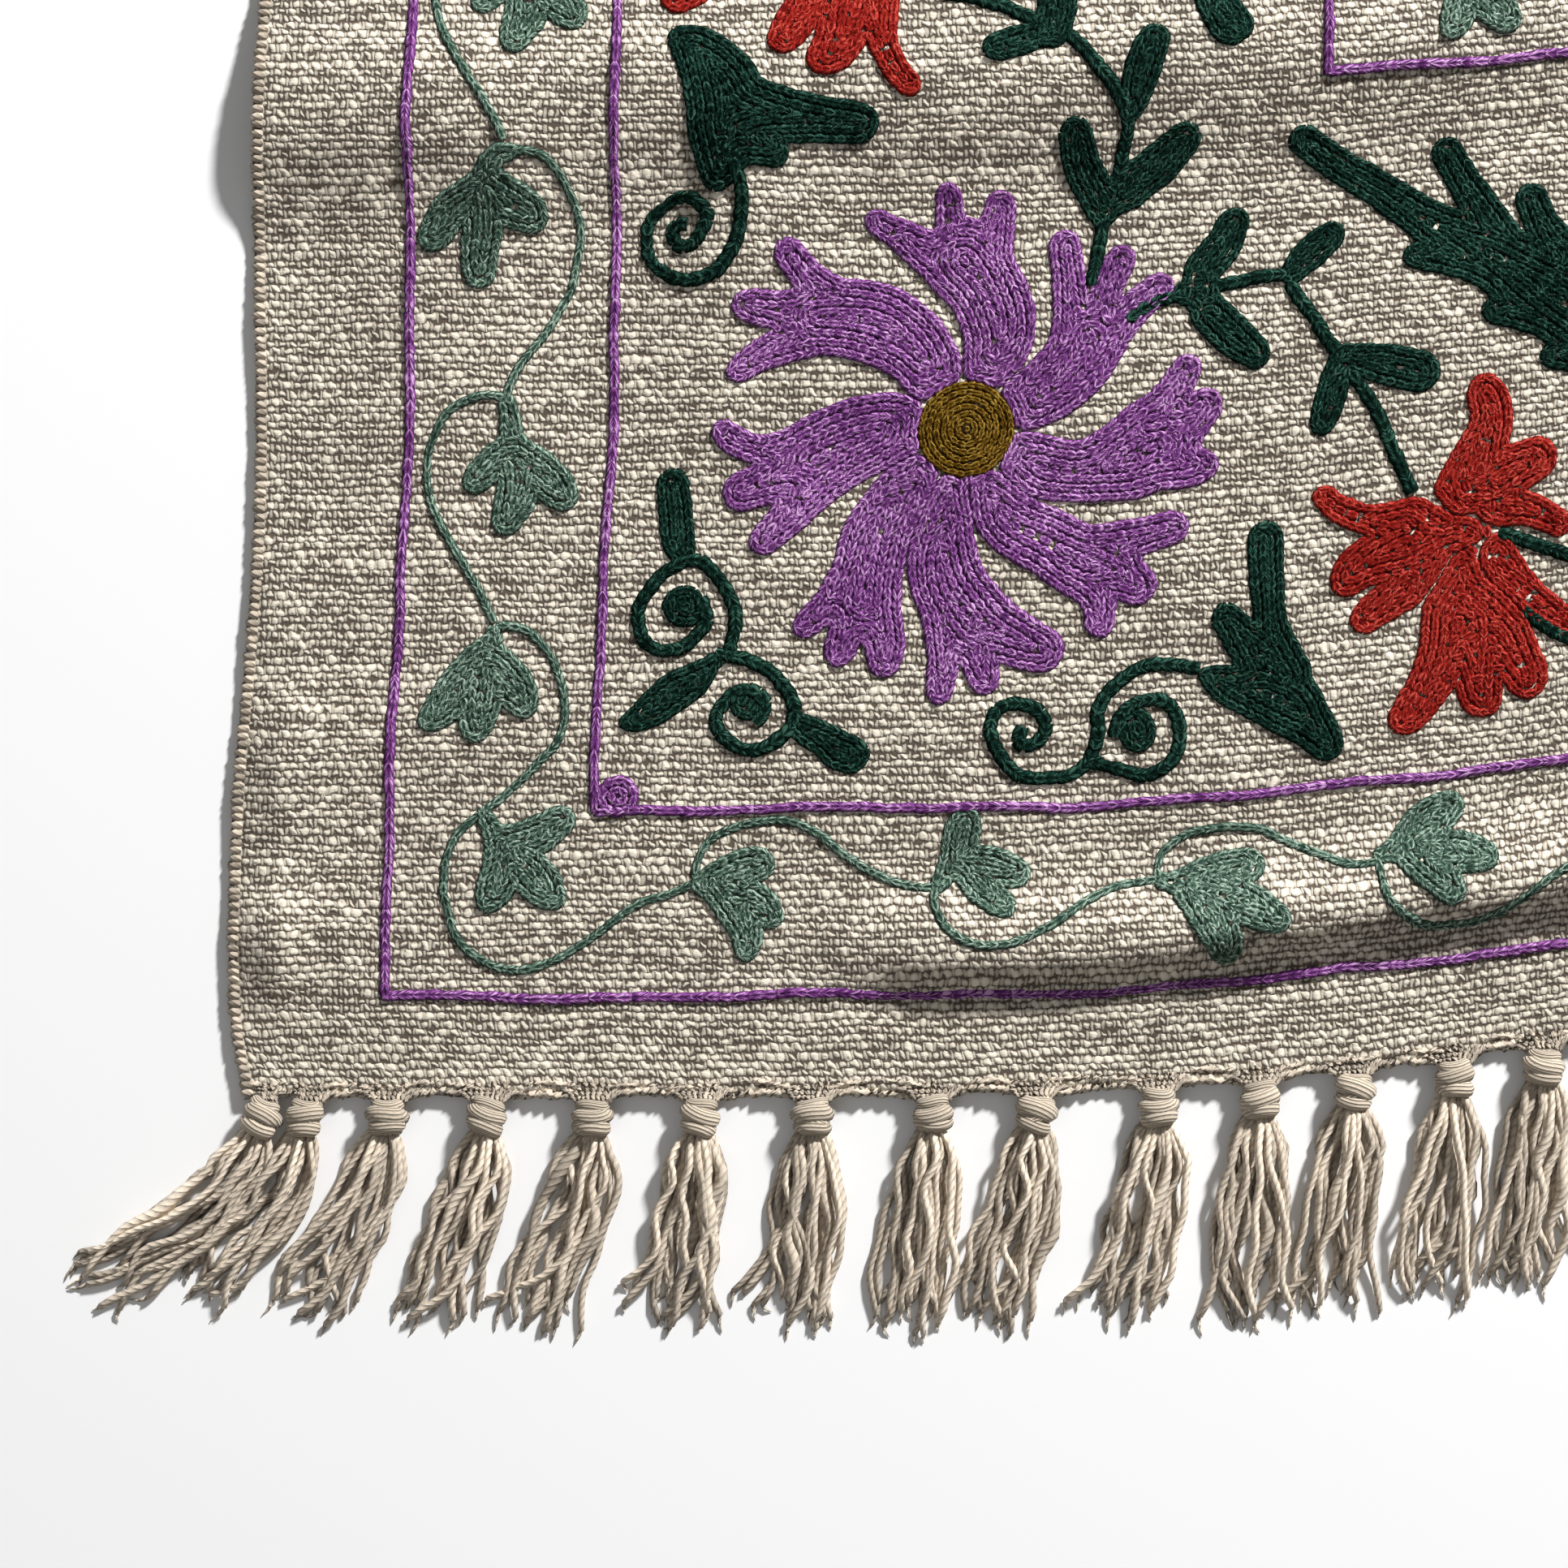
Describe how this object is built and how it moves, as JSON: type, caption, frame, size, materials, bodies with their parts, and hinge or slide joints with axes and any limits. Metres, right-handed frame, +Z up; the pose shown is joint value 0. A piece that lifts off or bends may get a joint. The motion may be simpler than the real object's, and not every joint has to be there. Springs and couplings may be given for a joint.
{
  "type": "suzani embroidered textile",
  "caption": "Small handwoven cotton suzani with chain-stitched flowers and vines in nested frames and a knotted warp fringe at each end, lying in soft folds.",
  "frame": {"origin": "on the surface that the cloth lies on, under the centre of its box", "axes": "+Y along the warp from the near fringe to the far fringe, +X along the weft, +Z up out of the embroidered face"},
  "size_m": [0.8154, 0.9592, 0.0101],
  "materials": {
    "natural_cotton": "coarse slubby plain weave, undyed",
    "fringe_cotton": "plied undyed cotton warp yarn",
    "purple_thread": "chain-stitched crewel yarn",
    "red_thread": "chain-stitched crewel yarn",
    "green_thread": "chain-stitched crewel yarn",
    "sage_thread": "chain-stitched crewel yarn",
    "olive_thread": "chain-stitched crewel yarn"
  },
  "bodies": {
    "root": {"ground_cloth": "natural_cotton", "fringe_near": "fringe_cotton", "fringe_far": "fringe_cotton"}
  },
  "joints": []
}
